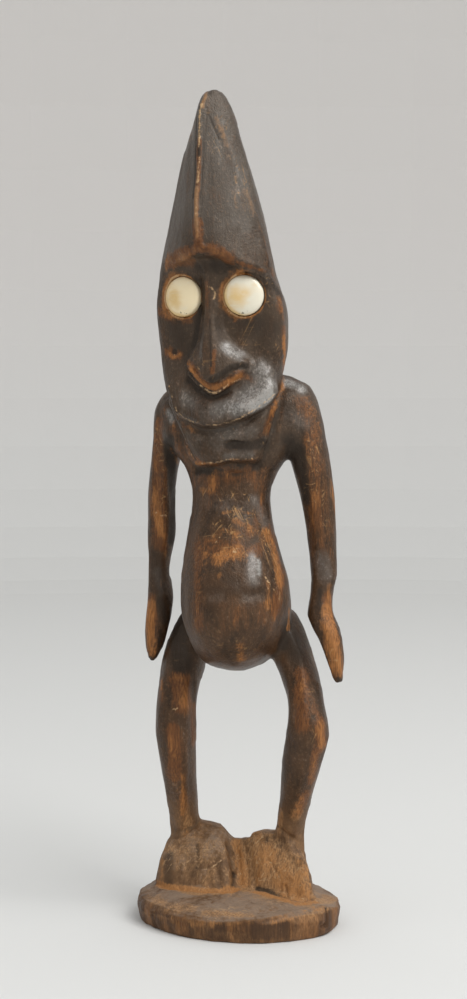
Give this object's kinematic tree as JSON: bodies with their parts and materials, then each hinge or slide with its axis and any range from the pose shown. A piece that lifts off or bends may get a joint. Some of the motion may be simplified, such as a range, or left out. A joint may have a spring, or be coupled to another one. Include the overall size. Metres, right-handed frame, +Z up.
{
  "type": "carved wooden spirit figure",
  "caption": "Standing carved wooden figure with a tall keeled head, long nose, inlaid shell disc eyes, swollen belly, hanging arms, bent legs and a hewn base.",
  "frame": {"origin": "on the underside of the base, in the plane that the figure stands on, below the middle of the body", "axes": "+Z up through the body to the tip of the head, -Y the way the figure faces, +X towards the figure's own left"},
  "size_m": [0.1232, 0.1071, 0.455],
  "materials": {
    "dark_wood": "hardwood with a dark, handled, half-gloss patina, rubbed through to orange-brown wood on edges and high places",
    "shell": "ground and polished cream-white shell with faint yellow patches"
  },
  "bodies": {
    "root": {"carved_figure": "dark_wood", "right_eye_shell": "shell", "left_eye_shell": "shell"}
  },
  "joints": []
}
